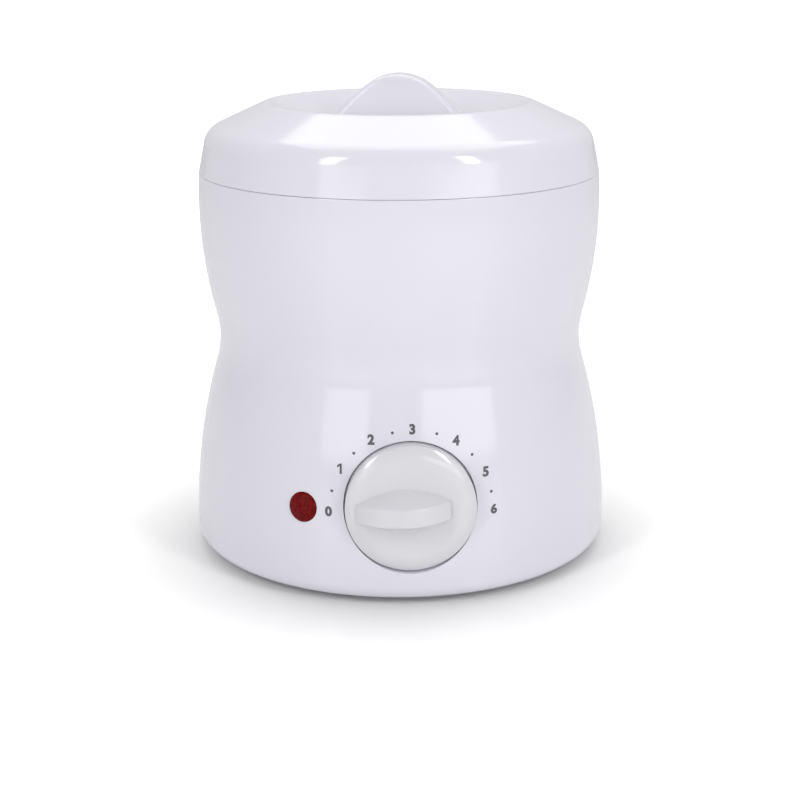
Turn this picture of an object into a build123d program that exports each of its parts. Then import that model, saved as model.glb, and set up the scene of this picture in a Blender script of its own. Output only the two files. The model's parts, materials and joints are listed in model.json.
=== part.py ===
"""Small salon wax heater: waisted plastic housing, lift-out pot, lift-off lid, front dial.

Millimetres, +Z up, front at -Y.  The origin is on the body axis at the surface the feet stand on.
"""
import os
from math import asin, atan2, cos, degrees, hypot, radians, sin, sqrt, tan

from build123d import *

os.makedirs("parts", exist_ok=True)

# ---------------------------------------------------------------- driving sizes
# housing skin: belly radius and height, how far the waist and shoulder sit inside it, and the rim
belly_r = 75.0
belly_z = 8.0
waist_in = 10.2
waist_z = 77.5
waist_arc = 33.0
shoulder_in = 4.4
shoulder_under = 11.2
wall = 2.6
base_z = 2.0
bottom_round = 5.0
rim_z = 135.2
rim_round = 0.35

# deck ring under the lid, with the posts that tie it to the base
deck_drop = 3.7
collar_thick = 4.0
collar_gap = 0.35
post_r = 3.3
post_wall_gap = 0.3
post_count = 4
post_first_deg = 45.0
ledge_width = 3.4
ledge_thick = 2.0

# lid
lid_gap = 0.15
lid_wall = 2.2
lid_edge_in = 3.0
lid_edge_rise = 14.25
lid_edge_round = 8.0
crest_in = 21.2
crest_rise = 9.7
crest_round = 4.0
dish_drop = 9.8
lip_thick = 2.0
lip_gap = 0.9
lip_rise = 5.6

# upright fin in the middle of the lid
fin_rise = 18.7
fin_apex_arc = 18.0
fin_apex_half_deg = 36.0
fin_flank_arc = 60.0
fin_flank_deg = 46.0
fin_half_base = 7.5
fin_half_top = 5.5
fin_edge_round = 2.2
fin_turn_deg = -10.0

# pot and heating well
pot_inner_r = 48.0
pot_wall = 1.0
pot_draft = 1.5
pot_depth = 69.0
pot_corner = 8.0
rim_bead = 1.9
bead_seat_gap = 0.05
pot_side_gap = 0.8
pot_floor_gap = 1.0
well_wall = 1.0
well_corner = 6.0
well_flange_thick = 1.0
well_gap = 0.5
lug_width = 16.0
lug_thick = 1.2
lug_flat = 1.5
lug_reach = 6.5
lug_rise = 5.0

# heater parcel round the well
heater_fit = 0.05
heater_thick = 1.6
heater_height = 32.0
heater_above_floor = 12.0
clamp_thick = 0.6
clamp_height = 16.0
clamp_split = 7.0
clamp_ear = 6.0
sleeve_thick = 1.5
sleeve_gap = 0.25
sleeve_open = 34.0
sleeve_over = 2.0

# knob, its pocket in the housing and the thermostat behind it
knob_z = 34.15
knob_r = 21.7
knob_proud = 1.85
knob_gap = 0.45
knob_floor_gap = 0.6
knob_wall = 2.0
knob_edge = 0.5
shoulder_w = 5.6
shoulder_drop = 2.0
knob_dish = 0.9
hub_r = 5.6
pocket_depth = 6.3
pocket_wall = 2.2
pocket_floor_thick = 2.4
off_tilt_deg = 1.5
grip_long = 17.9
grip_short = 13.0
grip_rise = 7.9
grip_end_rise = 0.5
grip_half = 3.0
grip_draft_deg = 26.0
grip_edge = 0.6
grip_corner = 1.4

shaft_r = 3.0
shaft_fit = 0.05
shaft_flat = 1.5
shaft_inside = 6.0
shaft_end_gap = 0.5
spring_half = 1.8
spring_thick = 0.5
shaft_in_knob = 9.0
bush_r = 4.8
bush_gap = 0.3
stat_w = 40.0
stat_h = 34.0
stat_d = 22.0
stat_corner = 2.0
bracket_w = 36.0
bracket_h = 24.0
bracket_thick = 1.2
stat_screw_pitch = 28.0
blade_w = 6.3
blade_thick = 0.8
blade_len = 8.0
blade_pitch = 16.0

# pilot lamp
lamp_deg = 28.8
lamp_z = 32.5
lens_r = 5.05
lens_gap = 0.12
lens_dome = 1.1
lens_proud = 0.25
holder_lip = 1.55
holder_flange = 1.6
holder_r = 4.6
holder_len = 13.0
neon_r = 2.6
neon_len = 10.0
neon_tip = 2.0

# base, feet and screws
base_gap = 0.3
base_thick = 2.6
foot_r = 8.0
foot_gap = 0.2
foot_edge = 0.8
foot_seat = 3.0
foot_bore_r = 3.3
foot_bore = 2.6
boss_r = 10.2
screw_r = 1.5
screw_gap = 0.25
thread_gap = 0.05
head_r = 2.8
head_h = 1.7
head_gap = 0.6
drive_r = 0.9
base_screw_len = 16.0
well_screw_len = 8.0
slot_len = 22.0
slot_w = 3.0
slot_count = 5
slot_pitch = 7.0
slots_forward = 18.0

# mains side
gland_z = 16.0
cord_bore_r = 3.6
gland_barrel_r = 5.6
gland_flange_r = 8.0
gland_flange = 2.0
gland_stub_r = 6.4
gland_out = 8.1
gland_inside = 7.0
gland_edge = 0.6
saddle_inset = 19.0
saddle_w = 8.0
saddle_pitch = 20.0
saddle_thick = 1.6
saddle_screw_len = 7.0
pillar_r = 4.0
block_w = 32.0
block_d = 15.0
block_h = 13.0
block_y = 24.0
block_ways = 3
block_way_pitch = 9.5
block_bore_r = 1.8
block_corner = 1.0
pinch_step = 4.0
head_seat_gap = 0.1
head_sunk = 1.0

# parts under the well floor
stud_r = 2.0
stud_len = 11.0
nut_flats = 7.0
small_nut_flats = 5.5
nut_h = 3.2
tag_r = 4.5
tag_reach = 9.5
tag_half = 2.0
tag_thick = 0.8
strip_w = 11.0
strip_thick = 1.0
strip_lip = 3.0
bulb_r = 3.0
bulb_len = 46.0
bulb_y = -15.0
fuse_r = 2.3
fuse_len = 18.0
fuse_y = 14.0
tube_r = 0.9
wire_r = 1.1
lead_r = 0.7
tube_bend = 1.8
tight_bend = 2.5
small_bend = 4.0
wide_bend = 5.0
tube_in = 5.0
blade_run = 12.0
way_run = 9.0
way_in = 3.0
tap_x = 20.0
lead_step = 1.6
lead_low = 8.6

# ---------------------------------------------------------------- sizes that follow
waist_r = belly_r - waist_in
shoulder_r = belly_r - shoulder_in
shoulder_z = rim_z - shoulder_under
drop = belly_r - waist_r
belly_arc = ((waist_z - belly_z) ** 2 + drop ** 2) / (2 * drop) - waist_arc
swell = shoulder_r - waist_r
shoulder_arc = ((shoulder_z - waist_z) ** 2 + swell ** 2) / (2 * swell) - waist_arc
belly_turn = asin((waist_z - belly_z) / (belly_arc + waist_arc))
shoulder_turn = asin((shoulder_z - waist_z) / (shoulder_arc + waist_arc))



def skin_r(height, inset=0.0):
    """Radius of the skin, or of a surface inside it, at one height."""
    belly_end = belly_z + (belly_arc - inset) * sin(belly_turn)
    shoulder_start = shoulder_z - (shoulder_arc - inset) * sin(shoulder_turn)
    if height <= belly_z:
        return belly_r - inset
    if height <= belly_end:
        return belly_r - belly_arc + sqrt((belly_arc - inset) ** 2 - (height - belly_z) ** 2)
    if height <= shoulder_start:
        return waist_r + waist_arc - sqrt((waist_arc + inset) ** 2 - (height - waist_z) ** 2)
    return shoulder_r - shoulder_arc + sqrt((shoulder_arc - inset) ** 2 - (height - shoulder_z) ** 2)


lid_low = rim_z + lid_gap
lid_edge_r = skin_r(rim_z) - lid_edge_in
lid_edge_z = lid_low + lid_edge_rise
crest_r = lid_edge_r - crest_in
crest_z = lid_edge_z + crest_rise
dish_z = crest_z - dish_drop
fin_top_z = dish_z + fin_rise

base_open_r = belly_r - bottom_round
base_r = base_open_r - base_gap
base_top = base_z + base_thick
foot_top = base_z + foot_seat
boss_top = foot_top + base_thick

well_inner_r = pot_inner_r + pot_wall + pot_side_gap
well_outer_r = well_inner_r + well_wall
deck_z = rim_z - deck_drop
flange_z = deck_z - well_flange_thick
pot_bottom = deck_z + rim_bead - pot_depth - pot_wall
well_floor = pot_bottom - pot_floor_gap
well_bottom = well_floor - well_wall

post_ring = waist_r - wall - post_wall_gap - post_r
well_flange_r = post_ring + head_r + head_gap
collar_bottom = deck_z - collar_thick

heater_in = well_outer_r + heater_fit
heater_out = heater_in + heater_thick
heater_low = well_bottom + heater_above_floor
heater_high = heater_low + heater_height
clamp_in = heater_out + heater_fit
clamp_out = clamp_in + clamp_thick
clamp_mid = (heater_low + heater_high) / 2
sleeve_in = clamp_out + sleeve_gap
sleeve_out = sleeve_in + sleeve_thick

holder_flange_r = lens_r + holder_lip
pocket_r = knob_r + knob_gap
pocket_floor_y = skin_r(knob_z) - pocket_depth
knob_face_y = skin_r(knob_z) + knob_proud
pocket_back = pocket_floor_y - pocket_floor_thick
knob_back = pocket_floor_y + knob_floor_gap
bracket_back = pocket_back - bracket_thick
stat_back = bracket_back - stat_d
shaft_inner = bracket_back - shaft_inside
shaft_outer = knob_back + shaft_in_knob
saddle_y = belly_r - saddle_inset

past = 1.0
beyond = 2 * belly_r
pocket_open = belly_r + past - pocket_back


# ---------------------------------------------------------------- shape helpers
def disc(radius, low, high, x=0.0, y=0.0):
    """Upright cylinder between two heights."""
    return Pos(x, y, (low + high) / 2) * Cylinder(radius, high - low)


def ring(inner, outer, low, high):
    """Upright ring between two heights."""
    return disc(outer, low, high) - disc(inner, low - past, high + past)


def rod_y(radius, near, far, x=0.0, z=0.0):
    """Cylinder along Y from one Y to another."""
    return Pos(x, (near + far) / 2, z) * Rot(90, 0, 0) * Cylinder(radius, abs(far - near))


def rod_x(radius, near, far, y=0.0, z=0.0):
    """Cylinder along X from one X to another."""
    return Pos((near + far) / 2, y, z) * Rot(0, 90, 0) * Cylinder(radius, abs(far - near))


def block(x0, x1, y0, y1, z0, z1):
    """Box between two corners."""
    return Pos((x0 + x1) / 2, (y0 + y1) / 2, (z0 + z1) / 2) * Box(x1 - x0, y1 - y0, z1 - z0)


def spun(*edges):
    """Solid of revolution about Z of a closed outline drawn as (radius, height)."""
    return revolve(Plane.XZ * make_face(list(edges)), axis=Axis.Z)


def bow(cx, cz, radius, start_deg, end_deg):
    """Arc about a centre, from one angle to another."""
    def at(angle):
        return (cx + radius * cos(radians(angle)), cz + radius * sin(radians(angle)))
    return ThreePointArc(at(start_deg), at((start_deg + end_deg) / 2), at(end_deg))


def around(shape, count, first_deg):
    """Copies of a shape spaced evenly about Z."""
    return [Rot(0, 0, first_deg + step * 360 / count) * shape for step in range(count)]


def joined(shapes):
    """One solid from touching shapes."""
    total = shapes[0]
    for shape in shapes[1:]:
        total = total + shape
    return total


def wire(radius, points, bend):
    """Round wire along straight runs joined by tangent arcs."""
    path = FilletPolyline(*points, radius=bend)
    start = Plane(origin=path @ 0, z_dir=path % 0)
    return sweep(start * Circle(radius), path=path)


def front(distance=0.0):
    """Plane square to the knob axis: local Z points out of the front, local Y up."""
    return Plane(origin=(0, -distance, knob_z), x_dir=(1, 0, 0), z_dir=(0, -1, 0))


def save(name, shape):
    """Write one named piece, or a group of separate solids."""
    if isinstance(shape, (list, tuple)):
        shape = Compound(children=list(shape))
    export_step(shape, f"parts/{name}.step")


# ---------------------------------------------------------------- housing skin
def skin_solid(inset):
    """Solid that fills the housing out to the skin, or to a surface inside it."""
    turn = degrees(belly_turn)
    lift = degrees(shoulder_turn)
    top_r = skin_r(rim_z, inset)
    top_deg = degrees(asin((rim_z - shoulder_z) / (shoulder_arc - inset)))
    low_z = base_z + inset
    round_z = base_z + bottom_round
    outline = [
        Line((0, base_z), (base_open_r, base_z)),
        bow(base_open_r, round_z, bottom_round - inset, -90, 0),
        Line((belly_r - inset, round_z), (belly_r - inset, belly_z)),
        bow(belly_r - belly_arc, belly_z, belly_arc - inset, 0, turn),
        bow(waist_r + waist_arc, waist_z, waist_arc + inset, 180 + turn, 180 - lift),
        bow(shoulder_r - shoulder_arc, shoulder_z, shoulder_arc - inset, -lift, top_deg),
        Line((top_r, rim_z), (0, rim_z)),
        Line((0, rim_z), (0, base_z)),
    ]
    if inset > 0:
        outline.append(Line((base_open_r, base_z), (base_open_r, low_z)))
    return spun(*outline)


def lamp_plane():
    """Plane on the skin at the pilot lamp: local Z points straight out of the skin."""
    tilt = asin((lamp_z - belly_z) / belly_arc)
    side = radians(lamp_deg)
    radius = skin_r(lamp_z)
    out = (-sin(side) * cos(tilt), -cos(side) * cos(tilt), sin(tilt))
    return Plane(origin=(-radius * sin(side), -radius * cos(side), lamp_z), z_dir=out)


def housing():
    """Waisted shell, open at both ends, with the knob pocket moulded into its front."""
    filled = skin_solid(0)
    shell = filled - skin_solid(wall)
    ledge_out = skin_r(collar_bottom) - wall / 2
    ledge_in = skin_r(collar_bottom, wall) - ledge_width
    shell += ring(ledge_in, ledge_out, collar_bottom - ledge_thick, collar_bottom)
    tub = front(pocket_back) * Pos(0, 0, pocket_open / 2) * Cylinder(pocket_r + pocket_wall, pocket_open)
    shell += tub & filled
    shell -= front(pocket_floor_y) * Pos(0, 0, pocket_open / 2) * Cylinder(pocket_r, pocket_open)
    shell -= rod_y(bush_r + bush_gap, -pocket_back + past, -pocket_floor_y - past, 0, knob_z)
    for side in (-1, 1):
        x = side * stat_screw_pitch / 2
        shell -= rod_y(screw_r + screw_gap, -pocket_back + past, -pocket_floor_y - past, x, knob_z)
    shell -= lamp_plane() * Cylinder(lens_r + lens_gap, 2 * holder_len)
    shell -= rod_y(gland_barrel_r + screw_gap, belly_r - gland_inside, belly_r + past, 0, gland_z)
    rim_edges = shell.edges().filter_by(GeomType.CIRCLE).filter_by(lambda e: e.center().Z > rim_z - wall)
    return fillet(rim_edges, rim_round)


def top_collar():
    """Deck ring that carries the well, with four posts down to the base."""
    outer = skin_r(collar_bottom, wall) - collar_gap
    outer = min(outer, skin_r(deck_z, wall) - collar_gap)
    deck = ring(well_outer_r + well_gap, outer, collar_bottom, deck_z)
    deck -= disc(well_flange_r + collar_gap, flange_z, deck_z + past)
    post = disc(post_r, boss_top, collar_bottom + past, post_ring)
    collar = joined([deck] + around(post, post_count, post_first_deg))
    low_hole = disc(screw_r + thread_gap, boss_top - past, boss_top + base_screw_len, post_ring)
    top_hole = disc(screw_r + thread_gap, flange_z - well_screw_len - past, flange_z + past, post_ring)
    for hole in (low_hole, top_hole):
        for cut in around(hole, post_count, post_first_deg):
            collar -= cut
    return collar


# ---------------------------------------------------------------- lid
def mitre(before, at, after, inset):
    """Corner of an outline moved inward by a wall thickness."""
    def inward(start, end):
        length = hypot(end[0] - start[0], end[1] - start[1])
        return (-(end[1] - start[1]) / length, (end[0] - start[0]) / length)
    first = inward(before, at)
    second = inward(at, after)
    share = inset / (1 + first[0] * second[0] + first[1] * second[1])
    return (at[0] + share * (first[0] + second[0]), at[1] + share * (first[1] + second[1]))


def lid_solid(inset):
    """Solid that fills the lid out to its skin, or to a surface inside it."""
    skirt = (skin_r(rim_z), lid_low)
    edge = (lid_edge_r, lid_edge_z)
    crest = (crest_r, crest_z)
    dish_arc = (crest_r ** 2 + (crest_z - dish_z) ** 2) / (2 * (crest_z - dish_z))
    crest_slope = asin(crest_r / dish_arc)
    along_dish = (crest_r - cos(crest_slope), crest_z - sin(crest_slope))
    foot_in = (skirt[0] - inset / cos(atan2(skirt[0] - edge[0], edge[1] - lid_low)), lid_low)
    edge_in = mitre(skirt, edge, crest, inset)
    crest_in = mitre(edge, crest, along_dish, inset)
    centre = (0, dish_z - inset)
    mid_arc = (crest_in[0] ** 2 + (crest_in[1] - centre[1]) ** 2) / (2 * (crest_in[1] - centre[1]))
    half_r = crest_in[0] / 2
    half_z = centre[1] + mid_arc - sqrt(mid_arc ** 2 - half_r ** 2)
    face = make_face([
        Line((0, lid_low), foot_in),
        Line(foot_in, edge_in),
        Line(edge_in, crest_in),
        ThreePointArc(crest_in, (half_r, half_z), centre),
        Line(centre, (0, lid_low)),
    ])
    for corner, size in ((edge_in, lid_edge_round - inset), (crest_in, crest_round - inset)):
        spot = face.vertices().sort_by_distance(Vector(corner[0], corner[1], 0))[0]
        face = fillet(spot, size)
    return revolve(Plane.XZ * face, axis=Axis.Z)


def fin_block(inset, low):
    """Upright hump with a round top and straight sloping flanks, thinner at the top."""
    apex = fin_apex_arc - inset
    flank = fin_flank_arc - inset
    turn = radians(fin_apex_half_deg)
    end = radians(fin_flank_deg)
    centre_z = fin_top_z - fin_apex_arc
    shoulder = (apex * sin(turn), centre_z + apex * cos(turn))
    hinge = (shoulder[0] - flank * sin(turn), shoulder[1] - flank * cos(turn))
    half = (turn + end) / 2
    flank_mid = (hinge[0] + flank * sin(half), hinge[1] + flank * cos(half))
    flank_end = (hinge[0] + flank * sin(end), hinge[1] + flank * cos(end))
    foot = (flank_end[0] + (flank_end[1] - low) / tan(end), low)
    def left(point):
        return (-point[0], point[1])
    outline = make_face([
        ThreePointArc(left(shoulder), (0, centre_z + apex), shoulder),
        ThreePointArc(shoulder, flank_mid, flank_end),
        Line(flank_end, foot),
        Line(foot, left(foot)),
        Line(left(foot), left(flank_end)),
        ThreePointArc(left(flank_end), left(flank_mid), left(shoulder)),
    ])
    hump = extrude(Plane.XZ * outline, amount=2 * fin_half_base, both=True)
    lean = (fin_half_base - fin_half_top) / (fin_top_z - dish_z)
    low_half = fin_half_base + lean * (dish_z - low) - inset
    top_half = fin_half_top - lean * past - inset
    slab = make_face(Polyline((-low_half, low), (low_half, low), (top_half, fin_top_z + past),
                              (-top_half, fin_top_z + past), close=True))
    return hump & extrude(Plane.YZ * slab, amount=3 * fin_flank_arc, both=True)


def lid():
    """One moulded lid: band, cone, crest, dish with the fin standing in it, and a locating lip."""
    cap = lid_solid(0)
    fin = fin_block(0, dish_z - lid_wall)
    rounded = fin.edges().filter_by(lambda e: e.center().Z > dish_z and abs(e.center().Y) > past)
    fin = fillet(rounded, fin_edge_round)
    cap += Rot(0, 0, fin_turn_deg) * fin
    lip_out = skin_r(rim_z, wall) - lip_gap
    lip_in = lip_out - lip_thick
    hollow = lid_solid(lid_wall)
    cap -= hollow
    seat = ring(lip_in, lip_out, deck_z, lid_low + lip_rise)
    bridge = ring(lip_in, skin_r(rim_z) - lid_wall / 2, lid_low, lid_low + lid_wall)
    cap += (seat + bridge)
    pocket = fin_block(lid_wall, dish_z - 2 * lid_wall)
    cap -= Rot(0, 0, fin_turn_deg) * pocket
    return cap


# ---------------------------------------------------------------- pot and well
def cup(inner, thick, floor_z, top, corner, draft):
    """Thin round cup with a rounded bottom corner."""
    def filled(inset):
        bottom = floor_z - thick + inset
        wide = inner + thick - inset
        narrow = wide - draft
        face = make_face(Polyline((0, bottom), (narrow, bottom), (wide, top), (0, top), close=True))
        spot = face.vertices().sort_by_distance(Vector(narrow, bottom, 0))[0]
        return revolve(Plane.XZ * fillet(spot, corner + thick - inset), axis=Axis.Z)
    return filled(0) - filled(thick)


def inner_pot():
    """Lift-out aluminium pot with a rolled rim."""
    bead_z = deck_z + bead_seat_gap + rim_bead
    pot = cup(pot_inner_r, pot_wall, pot_bottom + pot_wall, bead_z, pot_corner, pot_draft)
    bead_r = pot_inner_r + rim_bead
    return pot + Pos(0, 0, bead_z) * Torus(bead_r, rim_bead)


def pot_lugs():
    """Two bent finger tabs on the outside of the pot rim."""
    start_r = pot_inner_r + 2 * rim_bead + heater_fit
    start_z = deck_z + bead_seat_gap + rim_bead - lug_thick / 2
    lugs = []
    for side in (-1, 1):
        outline = Polyline(
            (start_r, start_z),
            (start_r + lug_flat, start_z),
            (start_r + lug_reach, start_z + lug_rise),
            (start_r + lug_reach, start_z + lug_rise + lug_thick),
            (start_r + lug_flat - lug_thick / 2, start_z + lug_thick),
            (start_r, start_z + lug_thick),
            close=True,
        )
        lug = extrude(Plane.XZ * make_face(outline), amount=lug_width / 2, both=True)
        lug -= disc(start_r, start_z - past, start_z + lug_rise)
        lugs.append(lug if side > 0 else Rot(0, 0, 180) * lug)
    return lugs


def heating_well():
    """Fixed aluminium well with a flat flange let into the deck ring."""
    well = cup(well_inner_r, well_wall, well_floor, deck_z, well_corner, 0.0)
    well += ring(well_inner_r, well_flange_r, flange_z, deck_z)
    hole = disc(screw_r + screw_gap, flange_z - past, deck_z + past, post_ring)
    for cut in around(hole, post_count, post_first_deg):
        well -= cut
    return well


def split_band(inner, outer, low, high, opening):
    """Ring with a gap at the back."""
    half = opening / 2
    return ring(inner, outer, low, high) - block(-half, half, 0, outer + past, low - past, high + past)


def heater_band():
    """Flat resistance band round the lower part of the well."""
    return split_band(heater_in, heater_out, heater_low, heater_high, clamp_split)


def heater_clamp():
    """Steel strap with two ears that pulls the band tight."""
    low = clamp_mid - clamp_height / 2
    high = clamp_mid + clamp_height / 2
    strap = split_band(clamp_in, clamp_out, low, high, clamp_split)
    start = sqrt(clamp_in ** 2 - (clamp_split / 2) ** 2)
    for side in (-1, 1):
        x0 = side * clamp_split / 2
        x1 = x0 + side * 2 * clamp_thick
        strap += block(min(x0, x1), max(x0, x1), start, clamp_out + clamp_ear, low, high)
    strap -= rod_x(screw_r + thread_gap, -clamp_split, clamp_split, ear_y(), clamp_mid)
    return strap


def ear_y():
    """Distance of the clamp screw from the body axis."""
    return clamp_out + clamp_ear / 2


def clamp_screw():
    """Screw across the strap's two ears."""
    reach = clamp_split / 2 + 2 * clamp_thick
    head = rod_x(head_r, reach, reach + head_h, ear_y(), clamp_mid)
    return head + rod_x(screw_r, -reach - nut_h, reach, ear_y(), clamp_mid)


def clamp_nut():
    """Nut on the clamp screw."""
    reach = clamp_split / 2 + 2 * clamp_thick
    blank = extrude(RegularPolygon(small_nut_flats / 2, 6, major_radius=False), amount=nut_h)
    blank -= Cylinder(screw_r + thread_gap, 3 * nut_h)
    return Pos(-reach - nut_h, ear_y(), clamp_mid) * Rot(0, 90, 0) * blank


def insulation_sleeve():
    """Fibre blanket round the heater, open at the back for the strap ears."""
    return split_band(sleeve_in, sleeve_out, heater_low - sleeve_over, heater_high + sleeve_over, sleeve_open)


def well_screws():
    """Screws that hold the well flange down into the tops of the posts."""
    screw = disc(head_r, deck_z, deck_z + head_h, post_ring)
    screw += disc(screw_r, flange_z - well_screw_len, deck_z, post_ring)
    screw -= disc(drive_r, deck_z + head_h / 2, deck_z + head_h + past, post_ring)
    return around(screw, post_count, post_first_deg)


# ---------------------------------------------------------------- under the well
def well_stud():
    """Threaded stud welded to the middle of the well floor."""
    return disc(stud_r, well_bottom - stud_len, well_bottom)


def tube_strip(y, radius):
    """Bent strip from the stud over a round body that lies under the well floor."""
    top = well_bottom
    centre_z = top - radius - heater_fit
    half = strip_w / 2
    side = 1 if y > 0 else -1
    arch = rod_x(radius + heater_fit + strip_thick, -half, half, y, centre_z)
    inner = radius + heater_fit
    outer = inner + strip_thick
    arch &= block(-half, half, y - outer, y + outer, centre_z - outer, centre_z)
    strip = arch + block(-half, half, y - outer, y + outer, centre_z, top)
    end = y + side * (outer + strip_lip)
    strip += block(-half, half, min(0, end), max(0, end), top - strip_thick, top)
    strip -= rod_x(inner, -strip_w, strip_w, y, centre_z)
    strip -= block(-strip_w, strip_w, y - inner, y + inner, centre_z, top + past)
    return strip


def bulb_strip():
    """One strip that holds the sensing bulb and the thermal fuse against the well floor."""
    strip = tube_strip(bulb_y, bulb_r) + tube_strip(fuse_y, fuse_r)
    return strip - disc(stud_r + thread_gap, well_bottom - 2 * strip_thick, well_bottom + past)


def stud_nut():
    """Nut that pulls the strip and the earth tag up against the well floor."""
    blank = extrude(RegularPolygon(nut_flats / 2, 6, major_radius=False), amount=nut_h)
    blank -= Cylinder(stud_r + thread_gap, 3 * nut_h)
    return Pos(0, 0, well_bottom - strip_thick - tag_thick - nut_h) * blank


def earth_tag():
    """Ring tag of the earth wire on the stud."""
    high = well_bottom - strip_thick
    low = high - tag_thick
    tag = disc(tag_r, low, high) + block(-tag_reach, 0, -tag_half, tag_half, low, high)
    return tag - disc(stud_r + thread_gap, low - past, high + past)


def sensing_bulb():
    """Fluid bulb of the thermostat, lying under the well floor."""
    z = well_bottom - bulb_r - heater_fit
    return rod_x(bulb_r, -bulb_len / 2, bulb_len / 2, bulb_y, z)


def thermal_fuse():
    """One-shot over-temperature fuse in its sleeve."""
    z = well_bottom - fuse_r - heater_fit
    return rod_x(fuse_r, -fuse_len / 2, fuse_len / 2, fuse_y, z)


# ---------------------------------------------------------------- thermostat and knob
def thermostat_body():
    """Moulded case of the capillary thermostat."""
    case = block(-stat_w / 2, stat_w / 2, -bracket_back, -stat_back, knob_z - stat_h / 2, knob_z + stat_h / 2)
    case = fillet(case.edges().filter_by(Axis.Y), stat_corner)
    return case - rod_y(shaft_r + shaft_fit, -shaft_inner + shaft_end_gap, -bracket_back - past, 0, knob_z)


def thermostat_bracket():
    """Steel plate on the front of the thermostat, screwed to the back of the knob pocket."""
    plate = block(-bracket_w / 2, bracket_w / 2, -pocket_back, -bracket_back,
                  knob_z - bracket_h / 2, knob_z + bracket_h / 2)
    plate = fillet(plate.edges().filter_by(Axis.Y), stat_corner)
    plate -= rod_y(bush_r + thread_gap, -beyond, 0, 0, knob_z)
    for side in (-1, 1):
        plate -= rod_y(screw_r + thread_gap, -beyond, 0, side * stat_screw_pitch / 2, knob_z)
    return plate


def thermostat_bush():
    """Brass bush that guides the thermostat shaft through the pocket floor."""
    bush = rod_y(bush_r, -bracket_back, -pocket_floor_y - knob_floor_gap / 2, 0, knob_z)
    return bush - rod_y(shaft_r + shaft_fit, -beyond, 0, 0, knob_z)


def thermostat_screws():
    """Two screws through the pocket floor, hidden by the knob."""
    screws = []
    for side in (-1, 1):
        x = side * stat_screw_pitch / 2
        head = rod_y(head_r, -pocket_floor_y - head_h, -pocket_floor_y, x, knob_z)
        screws.append(head + rod_y(screw_r, -pocket_floor_y, -bracket_back, x, knob_z))
    return screws


def thermostat_blades():
    """Two push-on blades at the back of the thermostat."""
    blades = []
    for side in (-1, 1):
        x = side * blade_pitch / 2
        blades.append(block(x - blade_thick / 2, x + blade_thick / 2, -stat_back, -stat_back + blade_len,
                            knob_z - blade_w / 2, knob_z + blade_w / 2))
    return blades


def thermostat_shaft():
    """Steel shaft with a flat for the knob."""
    length = shaft_outer - shaft_inner
    shaft = Pos(0, 0, length / 2) * Cylinder(shaft_r, length)
    flat_low = knob_back - shaft_inner
    shaft -= block(-hub_r, hub_r, shaft_flat, hub_r, flat_low, length + past)
    return front(shaft_inner) * Rot(0, 0, off_tilt_deg) * shaft


def knob_spring():
    """Leaf spring between the shaft's flat and the knob's bore."""
    low = shaft_flat + thread_gap
    leaf = block(-spring_half, spring_half, low, low + spring_thick, past, shaft_in_knob - past)
    return front(knob_back) * Rot(0, 0, off_tilt_deg) * leaf


def knob():
    """Dished disc with a hub and an off-centre grip whose long end is the pointer."""
    depth = knob_face_y - knob_back
    dish_r = knob_r - shoulder_w
    dish_arc = (dish_r ** 2 + knob_dish ** 2) / (2 * knob_dish)
    dish_mid = (dish_r / 2, depth - knob_dish + dish_arc - sqrt(dish_arc ** 2 - (dish_r / 2) ** 2))
    fall_arc = (shoulder_w ** 2 + shoulder_drop ** 2) / (2 * shoulder_drop)
    fall_mid = (dish_r + shoulder_w / 2, depth - fall_arc + sqrt(fall_arc ** 2 - (shoulder_w / 2) ** 2))
    edge = (knob_r, depth - shoulder_drop)
    body = spun(
        ThreePointArc((0, depth - knob_dish), dish_mid, (dish_r, depth)),
        ThreePointArc((dish_r, depth), fall_mid, edge),
        Line(edge, (knob_r, 0)),
        Line((knob_r, 0), (0, 0)),
        Line((0, 0), (0, depth - knob_dish)),
    )
    rim = body.edges().filter_by(lambda e: abs(e.center().Z - edge[1]) < thread_gap)
    body = fillet(rim, knob_edge)
    inside = disc(knob_r - knob_wall, -past, depth - knob_dish - knob_wall)
    body -= inside - disc(hub_r, -beyond, beyond)
    span = (grip_long + grip_short) / 2
    sag = grip_rise - grip_end_rise
    arc_r = (span ** 2 + sag ** 2) / (2 * sag)
    middle = (grip_short - grip_long) / 2
    lean = tan(radians(grip_draft_deg))
    fall = grip_rise + knob_dish + past
    base_half = grip_half + fall * lean
    outline = Polyline((0, -base_half), (arc_r - fall, -base_half), (arc_r, -grip_half),
                       (arc_r, grip_half), (arc_r - fall, base_half), (0, base_half), close=True)
    drum = revolve(make_face(outline), axis=Axis.Y)
    ridges = drum.edges().filter_by(lambda e: abs(abs(e.center().Y) - grip_half) < thread_gap)
    drum = fillet(ridges.filter_by(GeomType.CIRCLE), grip_edge)
    keep = block(-span, span, -base_half, base_half, arc_r - fall, arc_r + past)
    keep = fillet(keep.edges().filter_by(Axis.Z), grip_corner)
    grip = Pos(middle, 0, depth + grip_rise - arc_r) * (drum & keep)
    body += grip & disc(dish_r + shoulder_w / 2, depth - knob_dish - knob_wall / 2, depth + grip_rise + past)
    bore = disc(shaft_r + thread_gap, -past, shaft_in_knob + bush_gap)
    bore -= block(-hub_r, hub_r, shaft_flat + 2 * thread_gap + spring_thick, hub_r, -beyond, beyond)
    body -= bore
    return front(knob_back) * Rot(0, 0, off_tilt_deg) * body


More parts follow.
